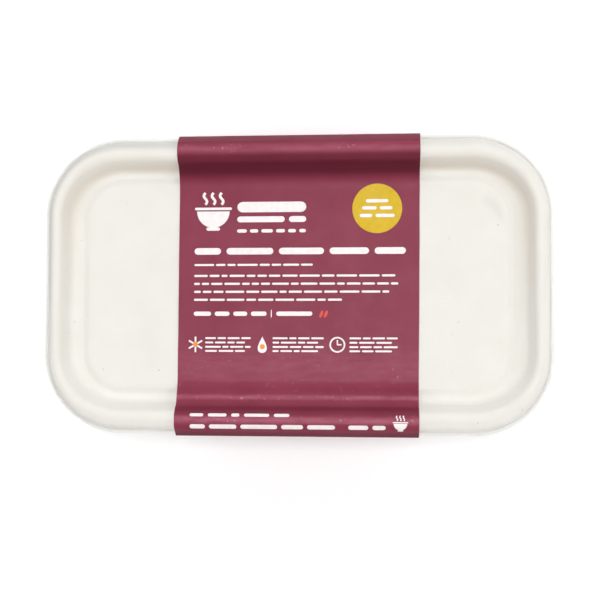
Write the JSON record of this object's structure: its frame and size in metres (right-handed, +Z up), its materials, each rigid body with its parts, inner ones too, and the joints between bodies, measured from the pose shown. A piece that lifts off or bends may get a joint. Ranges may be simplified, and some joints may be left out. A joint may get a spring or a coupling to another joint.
{
  "type": "sleeved tray meal",
  "caption": "Ready meal in a moulded pulp tray with a recessed pulp lid, held shut by a maroon card sleeve round its middle.",
  "frame": {"origin": "under the middle of the pack, on the surface that it rests on", "axes": "+X along the pack's length, to the right as the sleeve's print is read; +Y towards the top of the print; +Z up, out of the lid"},
  "size_m": [0.222, 0.1314, 0.048],
  "materials": {
    "pulp": "matte moulded plant fibre, warm white",
    "sleeve_card": "satin printed card, maroon",
    "print_white": "print on the sleeve, white",
    "print_yellow": "print on the sleeve, golden yellow",
    "print_red": "print on the sleeve, red",
    "print_orange": "print on the sleeve, orange"
  },
  "bodies": {
    "root": {"tray": "pulp", "lid": "pulp", "sleeve": "sleeve_card"}
  },
  "joints": []
}
